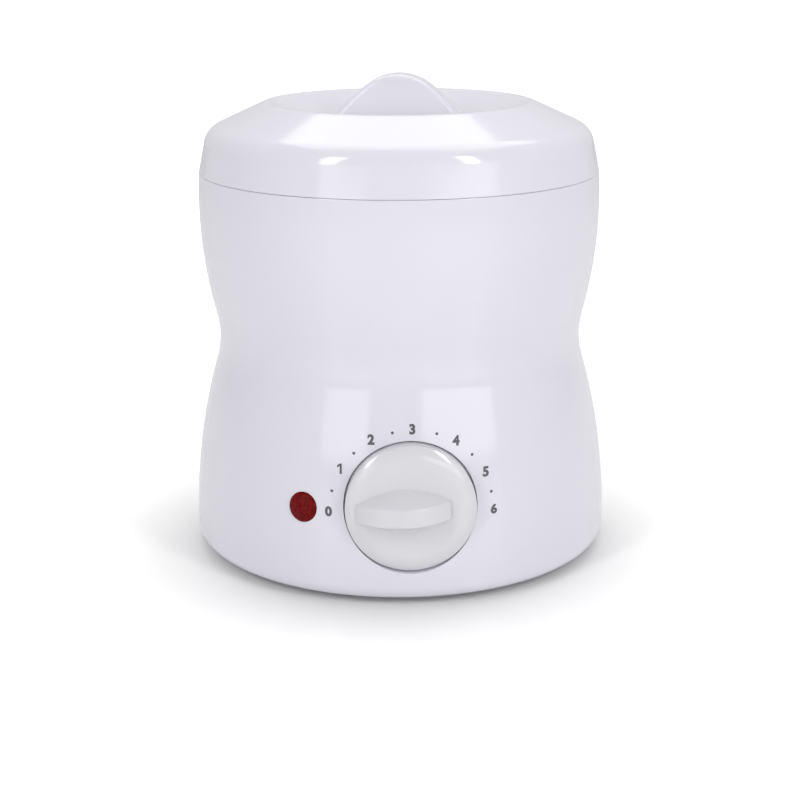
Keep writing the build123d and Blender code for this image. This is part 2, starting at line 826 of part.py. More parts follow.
# ---------------------------------------------------------------- pilot lamp
def pilot_lens():
    """Red lens, slightly domed, pressed into the skin."""
    rim = lens_proud + wall
    lens = Pos(0, 0, lens_proud - rim / 2) * Cylinder(lens_r, rim)
    dome_arc = (lens_r ** 2 + lens_dome ** 2) / (2 * lens_dome)
    dome = Pos(0, 0, lens_proud + lens_dome - dome_arc) * Sphere(dome_arc)
    dome &= Pos(0, 0, lens_proud + lens_dome) * Cylinder(lens_r, 2 * lens_dome)
    lens += dome
    return lamp_plane() * lens


def holder_sag():
    """How far a flat holder flange stands off the curved inside of the skin."""
    inside = skin_r(lamp_z, wall)
    return inside - sqrt(inside ** 2 - holder_flange_r ** 2)


def lamp_holder():
    """Holder behind the skin that carries the neon lamp."""
    seat = -wall - lens_gap
    holder = disc(holder_flange_r, seat - holder_flange, seat)
    holder += disc(holder_r, seat - holder_len, seat - holder_flange / 2)
    holder -= disc(neon_r + thread_gap, seat - neon_len - past, past)
    return lamp_plane() * Pos(0, 0, -holder_sag() - lens_gap) * holder


def neon_lamp():
    """Small glass neon inside the holder."""
    seat = -wall - 2 * lens_gap
    glass = disc(neon_r, seat - neon_len, seat - past)
    glass = fillet(glass.edges().sort_by(Axis.Z)[-1], neon_tip)
    return lamp_plane() * Pos(0, 0, -holder_sag() - lens_gap) * glass


# ---------------------------------------------------------------- base, feet, mains side
def post_spot(index):
    """Centre of one post seen from above."""
    angle = radians(post_first_deg + index * 360 / post_count)
    return post_ring * cos(angle), post_ring * sin(angle)


def base_plate():
    """Bottom cover with raised foot seats, vent slots, and seats for the mains parts."""
    plate = disc(base_r, base_z, base_top)
    for index in range(post_count):
        x, y = post_spot(index)
        plate += disc(boss_r, base_z, boss_top, x, y)
        plate -= disc(foot_r + foot_gap, base_z - past, foot_top, x, y)
        plate -= disc(screw_r + screw_gap, base_z, boss_top + past, x, y)
    for index in range(slot_count):
        y = (index - (slot_count - 1) / 2) * slot_pitch - slots_forward
        slot = extrude(SlotOverall(slot_len, slot_w), amount=2 * base_thick, both=True)
        plate -= Pos(0, y, base_top) * slot
    for side in (-1, 1):
        x = side * saddle_pitch / 2
        plate += disc(pillar_r, base_z, gland_z, x, saddle_y)
        plate -= disc(screw_r + thread_gap, gland_z - saddle_screw_len - past, gland_z + past, x, saddle_y)
        hole_x = side * block_way_pitch / 2
        plate -= disc(screw_r + thread_gap, base_z - past, base_top + past, hole_x, block_y)
    return plate


def foot(index):
    """Rubber foot let into the base, with a deep seat for its screw head."""
    x, y = post_spot(index)
    pad = disc(foot_r, 0, foot_top, x, y)
    pad = fillet(pad.edges().sort_by(Axis.Z)[0], foot_edge)
    pad -= disc(foot_bore_r, -past, foot_bore, x, y)
    return pad - disc(screw_r + screw_gap, foot_bore - past, foot_top + past, x, y)


def base_screws():
    """Four screws up through the feet into the posts."""
    screw = disc(head_r, foot_bore - head_h, foot_bore, post_ring)
    screw += disc(screw_r, foot_bore, foot_bore + base_screw_len, post_ring)
    return around(screw, post_count, post_first_deg)


def cord_gland():
    """Flanged bush in the back of the housing where the mains cord enters."""
    flange = rod_y(gland_flange_r, belly_r, belly_r + gland_flange, 0, gland_z)
    flange = fillet(flange.edges().sort_by(Axis.Y)[-1], gland_edge)
    stub = rod_y(gland_stub_r, belly_r + gland_flange / 2, belly_r + gland_out, 0, gland_z)
    stub = fillet(stub.edges().sort_by(Axis.Y)[-1], 2 * gland_edge)
    barrel = rod_y(gland_barrel_r, belly_r - gland_inside, belly_r + gland_flange / 2, 0, gland_z)
    gland = flange + stub + barrel
    return gland - rod_y(cord_bore_r, 0, beyond, 0, gland_z)


def cord_clamp():
    """Saddle that grips the mains cord against the base pillars."""
    half = saddle_w / 2
    reach = saddle_pitch / 2 + pillar_r
    bar = block(-reach, reach, saddle_y - half, saddle_y + half, gland_z, gland_z + saddle_thick)
    arch = rod_y(cord_bore_r + saddle_thick, saddle_y - half, saddle_y + half, 0, gland_z)
    arch &= block(-reach, reach, saddle_y - half, saddle_y + half, gland_z, gland_z + reach)
    bar += arch
    bar -= rod_y(cord_bore_r, 0, beyond, 0, gland_z)
    for side in (-1, 1):
        bar -= disc(screw_r + screw_gap, gland_z - past, gland_z + reach, side * saddle_pitch / 2, saddle_y)
    return bar


def clamp_screws():
    """Two screws of the cord saddle."""
    screws = []
    top = gland_z + saddle_thick
    for side in (-1, 1):
        x = side * saddle_pitch / 2
        head = disc(head_r, top, top + head_h, x, saddle_y)
        screws.append(head + disc(screw_r, gland_z - saddle_screw_len, top, x, saddle_y))
    return screws


def way_x(index):
    """Middle of one way of the terminal block."""
    return (index - (block_ways - 1) / 2) * block_way_pitch


def terminal_block():
    """Three-way block where the mains cores meet the inner wiring."""
    body = block(-block_w / 2, block_w / 2, block_y - block_d / 2, block_y + block_d / 2,
                 base_top, base_top + block_h)
    body = fillet(body.edges().filter_by(Axis.Z), block_corner)
    top = base_top + block_h
    for index in range(block_ways):
        body -= rod_y(block_bore_r, 0, beyond, way_x(index), base_top + block_h / 2)
        for step in (-1, 1):
            y = block_y + step * pinch_step
            body -= disc(screw_r + thread_gap, base_top + block_h / 2, top + past, way_x(index), y)
    for side in (-1, 1):
        x = side * block_way_pitch / 2
        body -= disc(screw_r + thread_gap, base_top - past, top + past, x, block_y)
        body -= disc(head_r + head_seat_gap, top - head_sunk - head_h, top + past, x, block_y)
    return body


def terminal_screws():
    """Pinch screws of the terminal block."""
    screws = []
    low = base_top + block_h / 2 + block_bore_r + block_bore_r / 8
    for index in range(block_ways):
        for step in (-1, 1):
            y = block_y + step * pinch_step
            screws.append(disc(screw_r, low, base_top + block_h - head_sunk / 2, way_x(index), y))
    return screws


def block_screws():
    """Two screws that fix the terminal block to the base."""
    screws = []
    top = base_top + block_h - head_sunk
    for side in (-1, 1):
        x = side * block_way_pitch / 2
        head = disc(head_r, top - head_h, top, x, block_y)
        screws.append(head + disc(screw_r, base_z + head_sunk / 2, top - head_h, x, block_y))
    return screws


# ---------------------------------------------------------------- wiring
def capillary():
    """Thin metal tube from the thermostat case to the sensing bulb."""
    x = stat_w / 2 - tube_in
    y = -(bracket_back + stat_back) / 2
    z = well_bottom - bulb_r - heater_fit
    case_top = knob_z + stat_h / 2
    end = bulb_len / 2
    turn_x = end + blade_run
    route = [(x, y, case_top), (x, y, z - past), (turn_x, y + tube_in, z), (turn_x, bulb_y, z),
             (end, bulb_y, z)]
    return wire(tube_r, route, [tube_bend, small_bend, wide_bend])


def block_front():
    """Front face and bore height of the terminal block."""
    return block_y - block_d / 2, base_top + block_h / 2


def live_wire():
    """From the terminal block to one thermostat blade."""
    y, z = block_front()
    x = way_x(1)
    tip = -stat_back + blade_len
    blade_x = -blade_pitch / 2
    middle = (blade_x - wire_r, (y - way_run + tip + blade_run) / 2, (z + knob_z) / 2)
    route = [(x, y + way_in, z), (x, y - way_run, z), middle, (blade_x, tip + blade_run, knob_z),
             (blade_x, tip, knob_z)]
    return wire(wire_r, route, wide_bend)


def load_wire():
    """From the other thermostat blade up to the thermal fuse."""
    tip = -stat_back + blade_len
    blade_x = blade_pitch / 2
    fuse_z = well_bottom - fuse_r - heater_fit
    end = fuse_len / 2
    turn_x = end + blade_run
    route = [(blade_x, tip, knob_z), (blade_x, tip + blade_run, knob_z), (turn_x, 0, fuse_z - way_run),
             (turn_x, fuse_y, fuse_z), (end, fuse_y, fuse_z)]
    return wire(wire_r, route, [wide_bend, wide_bend, small_bend])


def tap_y():
    """Distance from the body axis of the leads' ends on the heater band."""
    return sqrt(((heater_in + heater_out) / 2) ** 2 - tap_x ** 2)


def fuse_wire():
    """From the thermal fuse out to the heater band's edge."""
    fuse_z = well_bottom - fuse_r - heater_fit
    end = -fuse_len / 2
    route = [(end, fuse_y, fuse_z), (-tap_x, fuse_y, fuse_z), (-tap_x, tap_y() - tube_in, fuse_z - 2 * lead_r),
             (-tap_x, tap_y(), heater_low - way_run), (-tap_x, tap_y(), heater_low)]
    return wire(lead_r, route, [tight_bend, wide_bend, tight_bend])


def neutral_wire():
    """From the terminal block to the other end of the heater band."""
    y, z = block_front()
    x = way_x(2)
    back = y + block_d
    route = [(x, back - way_in, z), (x, back + 2 * way_in, z), (tap_x, tap_y() - way_in, z + way_run),
             (tap_x, tap_y(), heater_low - blade_run), (tap_x, tap_y(), heater_low)]
    return wire(lead_r, route, [small_bend, wide_bend, small_bend])


def earth_wire():
    """From the terminal block to the tag on the well stud."""
    y, z = block_front()
    x = way_x(0)
    tag_z = well_bottom - strip_thick - tag_thick / 2
    side = -tag_reach - blade_run
    route = [(x, y + way_in, z), (x, y - way_run, z), (side, 0, z + blade_run), (side, 0, tag_z),
             (-tag_reach, 0, tag_z)]
    return wire(wire_r, route, [small_bend, wide_bend, wide_bend])


def lamp_leads():
    """Two thin leads from the lamp holder down and back to the terminal block."""
    place = lamp_plane()
    depth = wall + 2 * lens_gap + holder_sag() + holder_len
    turn_x = -block_w / 2 - blade_run
    leads = []
    for step, low in ((-lead_step, lead_low), (lead_step, lead_low + 2 * lead_step)):
        start = place.from_local_coords(Vector(step, 0, -depth))
        inner = place.from_local_coords(Vector(step, 0, -depth - 2 * way_in))
        route = [tuple(start), tuple(inner), (turn_x + step, -block_y, low),
                 (turn_x + step, block_y + step, low), (-block_w / 2, block_y + step, low)]
        leads.append(wire(lead_r, route, [small_bend, wide_bend, small_bend]))
    return leads


# ---------------------------------------------------------------- write every piece
foot_names = ["foot_rear_right", "foot_rear_left", "foot_front_left", "foot_front_right"]

pieces = {
    "housing": housing(),
    "top_collar": top_collar(),
    "lid": lid(),
    "inner_pot": inner_pot(),
    "pot_lugs": pot_lugs(),
    "heating_well": heating_well(),
    "well_screws": well_screws(),
    "heater_band": heater_band(),
    "heater_clamp": heater_clamp(),
    "heater_clamp_screw": clamp_screw(),
    "heater_clamp_nut": clamp_nut(),
    "insulation_sleeve": insulation_sleeve(),
    "well_stud": well_stud(),
    "stud_nut": stud_nut(),
    "earth_tag": earth_tag(),
    "bulb_strip": bulb_strip(),
    "sensing_bulb": sensing_bulb(),
    "capillary_tube": capillary(),
    "thermal_fuse": thermal_fuse(),
    "thermostat_body": thermostat_body(),
    "thermostat_bracket": thermostat_bracket(),
    "thermostat_bush": thermostat_bush(),
    "thermostat_blades": thermostat_blades(),
    "thermostat_screws": thermostat_screws(),
    "thermostat_shaft": thermostat_shaft(),
    "knob": knob(),
    "knob_spring": knob_spring(),
    "pilot_lens": pilot_lens(),
    "lamp_holder": lamp_holder(),
    "neon_lamp": neon_lamp(),
    "base_plate": base_plate(),
    "base_screws": base_screws(),
    "cord_gland": cord_gland(),
    "cord_clamp": cord_clamp(),
    "cord_clamp_screws": clamp_screws(),
    "terminal_block": terminal_block(),
    "terminal_screws": terminal_screws(),
    "block_screws": block_screws(),
    "live_wire": live_wire(),
    "load_wire": load_wire(),
    "fuse_wire": fuse_wire(),
    "neutral_wire": neutral_wire(),
    "earth_wire": earth_wire(),
    "lamp_leads": lamp_leads(),
}
for index, name in enumerate(foot_names):
    pieces[name] = foot(index)

for name, shape in pieces.items():
    save(name, shape)
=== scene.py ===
import json
import math

import bmesh
import bpy
from mathutils import Matrix, Vector


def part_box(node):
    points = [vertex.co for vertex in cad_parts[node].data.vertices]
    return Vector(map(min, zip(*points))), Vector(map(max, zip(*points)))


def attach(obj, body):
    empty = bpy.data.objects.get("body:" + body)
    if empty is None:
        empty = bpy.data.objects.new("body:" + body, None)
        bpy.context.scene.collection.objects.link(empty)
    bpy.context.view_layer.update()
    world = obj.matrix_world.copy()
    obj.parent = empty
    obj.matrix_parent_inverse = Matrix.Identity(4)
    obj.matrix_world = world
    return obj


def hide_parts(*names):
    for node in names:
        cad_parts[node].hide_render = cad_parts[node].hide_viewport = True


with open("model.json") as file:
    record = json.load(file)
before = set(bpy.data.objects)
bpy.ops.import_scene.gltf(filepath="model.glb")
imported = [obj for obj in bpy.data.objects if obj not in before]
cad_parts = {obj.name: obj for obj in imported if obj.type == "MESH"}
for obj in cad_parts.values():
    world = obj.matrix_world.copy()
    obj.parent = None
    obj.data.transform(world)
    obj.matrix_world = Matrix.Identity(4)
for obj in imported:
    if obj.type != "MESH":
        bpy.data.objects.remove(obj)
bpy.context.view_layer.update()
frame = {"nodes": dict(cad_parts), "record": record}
nodes = frame["nodes"]
slotOf = {part["node"]: part["material_slot"] for part in frame["record"]["subparts"]}
print("frame loaded,", len(nodes), "nodes")

mm = 0.001


# camera: a little left of the front, looking slightly down
cameraSetup = {
    "aroundDeg": -2.7, "distance": 0.5649, "height": 0.2163,
    "downDeg": 16.42, "rollDeg": -0.25, "lens": 71.96, "sensor": 36, "nearest": 0.01,
}


def addCamera(setup):
    data = bpy.data.cameras.new("camera")
    data.lens = setup["lens"]
    data.sensor_width = setup["sensor"]
    data.clip_start = setup["nearest"]
    camera = bpy.data.objects.new("camera", data)
    around = math.radians(setup["aroundDeg"])
    place = Vector((math.sin(around), -math.cos(around), 0)) * setup["distance"]
    place.z = setup["height"]
    turn = Matrix.Rotation(around, 4, "Z") @ Matrix.Rotation(math.radians(90 - setup["downDeg"]), 4, "X")
    turn = turn @ Matrix.Rotation(math.radians(setup["rollDeg"]), 4, "Z")
    camera.matrix_world = Matrix.Translation(place) @ turn
    bpy.context.scene.collection.objects.link(camera)
    bpy.context.scene.camera = camera


addCamera(cameraSetup)
print("camera placed")


class Value:
    # a socket that plain arithmetic works on
    def __init__(self, tree, socket):
        self.tree = tree
        self.socket = socket

    def maths(self, operation, first, second):
        step = self.tree.nodes.new("ShaderNodeMath")
        step.operation = operation
        plug(self.tree, step.inputs[0], first)
        plug(self.tree, step.inputs[1], second)
        return Value(self.tree, step.outputs[0])

    def __add__(self, other):
        return self.maths("ADD", self, other)

    def __radd__(self, other):
        return self.maths("ADD", other, self)

    def __sub__(self, other):
        return self.maths("SUBTRACT", self, other)

    def __rsub__(self, other):
        return self.maths("SUBTRACT", other, self)

    def __mul__(self, other):
        return self.maths("MULTIPLY", self, other)

    def __rmul__(self, other):
        return self.maths("MULTIPLY", other, self)

    def __truediv__(self, other):
        return self.maths("DIVIDE", self, other)

    def __pow__(self, other):
        return self.maths("POWER", self, other)


def plug(tree, socket, value):
    if isinstance(value, Value):
        tree.links.new(value.socket, socket)
    else:
        socket.default_value = value


class Finish:
    # one node material, with a few short ways to add nodes
    def __init__(self, name):
        self.material = bpy.data.materials.new(name)
        self.material.use_nodes = True
        self.tree = self.material.node_tree
        self.shader = self.tree.nodes["Principled BSDF"]

    def node(self, kind, settings=None, sockets=None, out=0):
        step = self.tree.nodes.new(kind)
        for key, value in (settings or {}).items():
            if key == "stops":
                stops = step.color_ramp.elements
                for index, (spot, colour) in enumerate(value):
                    stop = stops[index] if index < len(stops) else stops.new(spot)
                    stop.position = spot
                    stop.color = colour
            else:
                setattr(step, key, value)
        for key, value in (sockets or {}).items():
            plug(self.tree, step.inputs[key], value)
        return Value(self.tree, step.outputs[out])

    def place(self, stretch=(1, 1, 1)):
        spot = self.node("ShaderNodeTexCoord", out="Object")
        return self.node("ShaderNodeMapping", sockets={"Vector": spot, "Scale": stretch})

    def noise(self, size, detail=2, stretch=(1, 1, 1)):
        sockets = {"Vector": self.place(stretch), "Scale": 1 / size, "Detail": detail}
        return self.node("ShaderNodeTexNoise", sockets=sockets)

    def cells(self, size, feature="F1"):
        sockets = {"Vector": self.place(), "Scale": 1 / size}
        return self.node("ShaderNodeTexVoronoi", {"feature": feature}, sockets)

    def spun(self, size, detail=3):
        # fine rings round the upright axis, as a spinning lathe leaves them
        spot = self.node("ShaderNodeTexCoord", out="Object")
        parts = self.tree.nodes.new("ShaderNodeSeparateXYZ")
        plug(self.tree, parts.inputs[0], spot)
        east, north, up = (Value(self.tree, one) for one in parts.outputs)
        radius = (east * east + north * north) ** 0.5
        ringPlace = self.node("ShaderNodeCombineXYZ", sockets={"X": radius, "Y": up * 0.9})
        sockets = {"Vector": ringPlace, "Scale": 1 / size, "Detail": detail}
        return self.node("ShaderNodeTexNoise", sockets=sockets)

    def steps(self, value, low, high):
        return self.node("ShaderNodeMapRange", sockets={"Value": value, "From Min": low, "From Max": high})

    def blend(self, factor, first, second):
        sockets = {0: factor, 6: (*first, 1) if isinstance(first, tuple) else first,
                   7: (*second, 1) if isinstance(second, tuple) else second}
        return self.node("ShaderNodeMix", {"data_type": "RGBA"}, sockets, out=2)

    def bump(self, height, depth, strength=1.0):
        sockets = {"Height": height, "Distance": depth, "Strength": strength}
        return self.node("ShaderNodeBump", sockets=sockets)

    def set(self, values):
        for key, value in values.items():
            plug(self.tree, self.shader.inputs[key], value)
        return self.material


whiteLook = {
    "clean": (0.735, 0.724, 0.790), "warm": (0.728, 0.718, 0.780),
    "tintSize": 0.045, "peelSize": 0.0021, "peelDepth": 0.0000022, "dustSize": 0.0016, "dustRise": 0.6,
    "glossLow": 0.085, "glossHigh": 0.13, "bend": 1.5,
}
# the knob is a slightly greyer and shinier moulding than the housing
knobLook = {
    **whiteLook, "clean": (0.69, 0.686, 0.72), "warm": (0.68, 0.676, 0.708),
    "glossLow": 0.05, "glossHigh": 0.08,
}


def glossWhite(name, look):
    # injection moulded, high gloss: faint tint drift, orange peel and a few dust nibs
    finish = Finish(name)
    drift = finish.noise(look["tintSize"])
    cloud = finish.noise(look["tintSize"] / 3, 4)
    peel = finish.noise(look["peelSize"], 3)
    nibs = finish.steps(finish.cells(look["dustSize"]), 0.05, 0.0) * finish.steps(cloud, 0.55, 0.7)
    span = look["glossHigh"] - look["glossLow"]
    return finish.set({
        "Base Color": finish.blend(drift, look["clean"], look["warm"]),
        "Roughness": cloud * span + look["glossLow"],
        "Normal": finish.bump(peel + nibs * look["dustRise"], look["peelDepth"]),
        "IOR": look["bend"],
    })


satinLook = {"cloudSize": 0.02, "shade": 0.93, "grainDepth": 0.00004, "grainPush": 0.6}


def satinWhite(name, colour, grain, rough, look=satinLook):
    # spark-eroded mould skin: fine even grain with a slight cloud
    finish = Finish(name)
    fine = finish.cells(grain)
    cloud = finish.noise(look["cloudSize"], 3)
    shade = tuple(one * look["shade"] for one in colour)
    return finish.set({
        "Base Color": finish.blend(cloud * 0.6 + fine * 0.3, colour, shade),
        "Roughness": cloud * 0.1 + rough,
        "Normal": finish.bump(fine, look["grainDepth"], look["grainPush"]),
    })


potLook = {
    "bright": (0.80, 0.81, 0.82), "stained": (0.62, 0.63, 0.65),
    "ringSize": 0.0004, "waveSize": 0.006, "stainSize": 0.018, "ringDepth": 0.000012, "gloss": 0.18,
}


def spunAluminium(look):
    finish = Finish("spun_aluminium")
    rings = finish.spun(look["ringSize"])
    wide = finish.spun(look["waveSize"])
    stain = finish.noise(look["stainSize"], 4)
    return finish.set({
        "Base Color": finish.blend(stain * 0.5 + rings * 0.4, look["bright"], look["stained"]),
        "Metallic": 1.0,
        "Roughness": rings * 0.14 + stain * 0.1 + look["gloss"],
        "Normal": finish.bump(rings + wide * 2, look["ringDepth"], 0.8),
    })


platedLook = {"grainSize": 0.0005, "patchSize": 0.006, "crystalSize": 0.0022, "grainDepth": 0.00001}


def platedSteel(name, bright, dull, rough, look=platedLook):
    # plated sheet: rolling grain, small crystals and handling marks
    finish = Finish(name)
    grain = finish.noise(look["grainSize"], 2, (1, 0.06, 0.4))
    patch = finish.noise(look["patchSize"], 4)
    crystal = finish.cells(look["crystalSize"])
    return finish.set({
        "Base Color": finish.blend(patch * 0.7 + crystal * 0.3, bright, dull),
        "Metallic": 1.0,
        "Roughness": patch * 0.18 + grain * 0.08 + rough,
        "Normal": finish.bump(grain + crystal * 0.4, look["grainDepth"], 0.7),
    })


heaterLook = {
    "plain": (0.50, 0.49, 0.47, 1), "straw": (0.55, 0.46, 0.33, 1), "blue": (0.34, 0.36, 0.46, 1),
    "bandSize": 0.014, "grainSize": 0.0006, "grainDepth": 0.00001, "gloss": 0.3,
}


def heatedSteel(look):
    # stainless jacket that has run hot: straw and blue bands
    finish = Finish("heated_steel")
    patch = finish.noise(look["bandSize"], 4)
    stops = [(0.25, look["plain"]), (0.6, look["straw"]), (0.85, look["blue"])]
    tint = finish.node("ShaderNodeValToRGB", {"stops": stops}, {"Fac": patch})
    grain = finish.noise(look["grainSize"], 2, (0.1, 0.1, 1))
    return finish.set({
        "Base Color": tint,
        "Metallic": 1.0,
        "Roughness": grain * 0.2 + look["gloss"],
        "Normal": finish.bump(grain, look["grainDepth"], 0.6),
    })


feltLook = {
    "light": (0.86, 0.83, 0.76), "dark": (0.55, 0.50, 0.41),
    "hairSize": 0.0009, "crossHairSize": 0.0011, "clumpSize": 0.007, "hairDepth": 0.0004, "fuzz": 0.4,
}


def feltedFibre(look):
    finish = Finish("felted_fibre")
    upright = finish.noise(look["hairSize"], 6, (0.3, 0.3, 1))
    level = finish.noise(look["crossHairSize"], 6, (1, 1, 0.25))
    hair = upright + level
    clump = finish.noise(look["clumpSize"], 3)
    return finish.set({
        "Base Color": finish.blend(hair * 0.4 + clump * 0.3, look["light"], look["dark"]),
        "Roughness": 0.95,
        "Sheen Weight": look["fuzz"],
        "Normal": finish.bump(hair + clump, look["hairDepth"], 0.9),
    })


turnedLook = {"grainSize": 0.0004, "tarnishSize": 0.004, "grainDepth": 0.000008, "gloss": 0.16}


def turnedMetal(name, bright, dull, look=turnedLook):
    finish = Finish(name)
    grain = finish.noise(look["grainSize"], 2, (1, 0.1, 1))
    tarnish = finish.noise(look["tarnishSize"], 5)
    return finish.set({
        "Base Color": finish.blend(tarnish, bright, dull),
        "Metallic": 1.0,
        "Roughness": tarnish * 0.2 + grain * 0.1 + look["gloss"],
        "Normal": finish.bump(grain, look["grainDepth"], 0.7),
    })


# the hollow colour is a darker copy of the strand colour, a painted shade where the weave is lowest
sleeveLook = {
    "hollow": (0.60, 0.56, 0.45), "strand": (0.88, 0.85, 0.76), "strandScale": 420.0, "strandDepth": 0.0002,
}


def wovenSleeve(look):
    # glass braid: two crossed sets of strands, with painted shade in the low hollows between them
    finish = Finish("woven_sleeve")

    def strands(side):
        sockets = {"Vector": finish.place((side, 1, 1)), "Scale": look["strandScale"]}
        return finish.node("ShaderNodeTexWave", {"bands_direction": "DIAGONAL"}, sockets)

    weave = strands(1) * strands(-1)
    return finish.set({
        "Base Color": finish.blend(weave, look["hollow"], look["strand"]),
        "Roughness": 1 - weave * 0.3,
        "Normal": finish.bump(weave, look["strandDepth"], 0.8),
    })


darkLook = {
    "black": (0.020, 0.020, 0.022), "worn": (0.045, 0.045, 0.048),
    "grainSize": 0.0009, "wearSize": 0.008, "grainDepth": 0.00006, "gloss": 0.42,
}


def darkMoulding(look):
    finish = Finish("dark_moulding")
    grain = finish.cells(look["grainSize"])
    wear = finish.noise(look["wearSize"], 4)
    return finish.set({
        "Base Color": finish.blend(wear, look["black"], look["worn"]),
        "Roughness": wear * 0.15 + look["gloss"],
        "Normal": finish.bump(grain, look["grainDepth"], 0.6),
    })


# the two reds are a painted shade and a painted highlight that stand in for the light passing through the
# lens
lensLook = {
    "deep": (0.018, 0.0006, 0.0008), "paintedHighlight": (0.24, 0.0025, 0.004),
    "facet": 0.00115, "cloudSize": 0.0022, "facetDepth": 0.00012, "gloss": 0.14, "shine": 0.1,
}


def redLens(look):
    # transparent red moulding over a dark lamp, drawn opaque: its colour holds painted light, deepening to
    # a painted shade between its prisms and rising to a painted highlight on them
    finish = Finish("red_lens")
    prisms = finish.cells(look["facet"])
    cloud = finish.noise(look["cloudSize"], 3)
    return finish.set({
        "Base Color": finish.blend(prisms * 0.7 + cloud * 0.4, look["deep"], look["paintedHighlight"]),
        "Roughness": cloud * 0.12 + look["gloss"],
        "Specular IOR Level": look["shine"],
        "Normal": finish.bump(prisms, look["facetDepth"], 0.7),
    })


neonLook = {
    "clear": (0.95, 0.86, 0.78), "tinted": (0.88, 0.66, 0.52),
    "streakSize": 0.0015, "streakDepth": 0.00002, "gloss": 0.03, "clearness": 0.85,
}


def lampGlass(look):
    finish = Finish("lamp_glass")
    streak = finish.noise(look["streakSize"], 2, (1, 1, 0.2))
    return finish.set({
        "Base Color": finish.blend(streak, look["clear"], look["tinted"]),
        "Roughness": streak * 0.06 + look["gloss"],
        "Transmission Weight": look["clearness"],
        "Normal": finish.bump(streak, look["streakDepth"], 0.5),
    })


wireLook = {
    "markSize": 0.0005, "cloudSize": 0.006, "shade": 0.7, "markDepth": 0.00004, "gloss": 0.38,
    "stripeScale": 90.0,
}


def wireCover(name, colour, stripe=None, look=wireLook):
    # silicone sleeve: soft sheen, slight draw marks, and a second colour on the earth wire
    finish = Finish(name)
    marks = finish.noise(look["markSize"], 3)
    cloud = finish.noise(look["cloudSize"], 3)
    shade = tuple(one * look["shade"] for one in colour)
    tint = finish.blend(cloud, colour, shade)
    if stripe:
        sockets = {"Vector": finish.place(), "Scale": look["stripeScale"]}
        band = finish.node("ShaderNodeTexWave", {"bands_direction": "X"}, sockets)
        tint = finish.blend(finish.steps(band, 0.45, 0.55), tint, stripe)
    return finish.set({
        "Base Color": tint,
        "Roughness": marks * 0.2 + look["gloss"],
        "Normal": finish.bump(marks, look["markDepth"], 0.5),
    })


rubberLook = {
    "dark": (0.022, 0.022, 0.022), "bloomed": (0.055, 0.053, 0.050),
    "grainSize": 0.0006, "bloomSize": 0.005, "grainDepth": 0.00012, "gloss": 0.72,
}


def mattRubber(look):
    finish = Finish("matt_rubber")
    grain = finish.noise(look["grainSize"], 4)
    bloom = finish.noise(look["bloomSize"], 3)
    return finish.set({
        "Base Color": finish.blend(bloom, look["dark"], look["bloomed"]),
        "Roughness": bloom * 0.15 + look["gloss"],
        "Normal": finish.bump(grain, look["grainDepth"], 0.8),
    })


inkLook = {
    "full": (0.075, 0.075, 0.085), "thin": (0.105, 0.105, 0.115),
    "coverSize": 0.0004, "coverDepth": 0.000006, "gloss": 0.35,
}


def printInk(look):
    # pad-printed grey: slightly uneven cover and a soft satin
    finish = Finish("print_ink")
    cover = finish.noise(look["coverSize"], 3)
    return finish.set({
        "Base Color": finish.blend(cover, look["full"], look["thin"]),
        "Roughness": cover * 0.2 + look["gloss"],
        "Normal": finish.bump(cover, look["coverDepth"], 0.5),
    })


finishes = {
    "white_plastic": glossWhite("gloss_white", whiteLook),
    "collar_plastic": satinWhite("satin_collar", (0.74, 0.735, 0.75), 0.0007, 0.38),
    "aluminium": spunAluminium(potLook),
    "zinc_steel": platedSteel("zinc_plate", (0.70, 0.71, 0.72), (0.48, 0.49, 0.51), 0.2),
    "heater_steel": heatedSteel(heaterLook),
    "fibre": feltedFibre(feltLook),
    "brass": turnedMetal("turned_brass", (0.80, 0.60, 0.28), (0.52, 0.36, 0.15)),
    "copper": turnedMetal("drawn_copper", (0.78, 0.42, 0.27), (0.44, 0.22, 0.15)),
    "fuse_sleeve": wovenSleeve(sleeveLook),
    "dark_plastic": darkMoulding(darkLook),
    "red_lens": redLens(lensLook),
    "clear_glass": lampGlass(neonLook),
    "base_plastic": satinWhite("satin_base", (0.70, 0.69, 0.74), 0.0009, 0.45),
    "block_plastic": satinWhite("natural_block", (0.80, 0.78, 0.71), 0.0006, 0.4),
    "brown_wire": wireCover("brown_silicone", (0.20, 0.085, 0.040)),
    "blue_wire": wireCover("blue_silicone", (0.030, 0.11, 0.40)),
    "green_wire": wireCover("earth_silicone", (0.06, 0.30, 0.05), (0.75, 0.62, 0.04)),
    "rubber": mattRubber(rubberLook),
}
for name, node in nodes.items():
    node.data.materials.clear()
    node.data.materials.append(finishes[slotOf[name]])
nodes["knob"].data.materials[0] = glossWhite("gloss_knob", knobLook)
print("materials on every node:", len(finishes))


def makePiece(name, mesh, body, finish, standsFor=None):
    piece = bpy.data.objects.new(name, mesh)
    bpy.context.scene.collection.objects.link(piece)
    mesh.materials.clear()
    mesh.materials.append(finish)
    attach(piece, body)
    if standsFor:
        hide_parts(*standsFor)
    return piece


